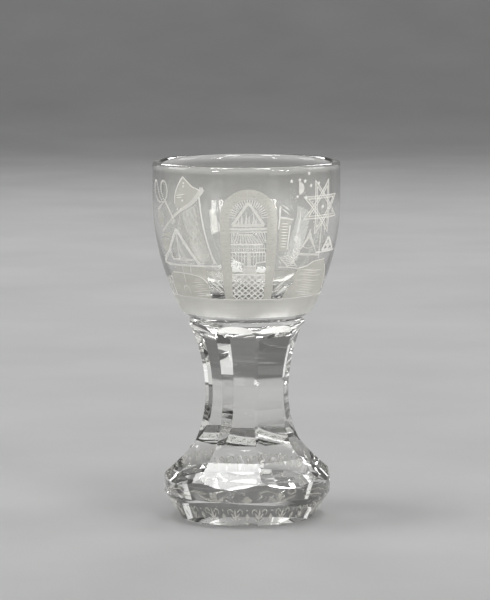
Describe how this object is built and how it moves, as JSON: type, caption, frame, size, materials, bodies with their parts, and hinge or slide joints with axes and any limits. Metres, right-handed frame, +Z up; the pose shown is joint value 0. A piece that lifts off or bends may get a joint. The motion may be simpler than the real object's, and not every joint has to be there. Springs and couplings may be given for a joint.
{
  "type": "engraved glass goblet",
  "caption": "Heavy clear-glass goblet: a round thick-walled engraved bowl on a waisted, faceted stem with a broad facet-cut foot.",
  "frame": {"origin": "centre of the foot's resting face, on the goblet's upright axis", "axes": "+Z up along the axis, -Y towards the front of the bowl, where the arched panel is engraved, +X to its right"},
  "size_m": [0.076, 0.076, 0.145],
  "materials": {
    "bowl_glass": "clear polished glass with matt wheel-engraved decoration",
    "cut_glass": "clear glass, cut and polished",
    "engraving": "matt ground glass, as the engraver's wheel leaves it"
  },
  "bodies": {
    "root": {"bowl": "bowl_glass", "stem": "cut_glass", "foot": "cut_glass"}
  },
  "joints": []
}
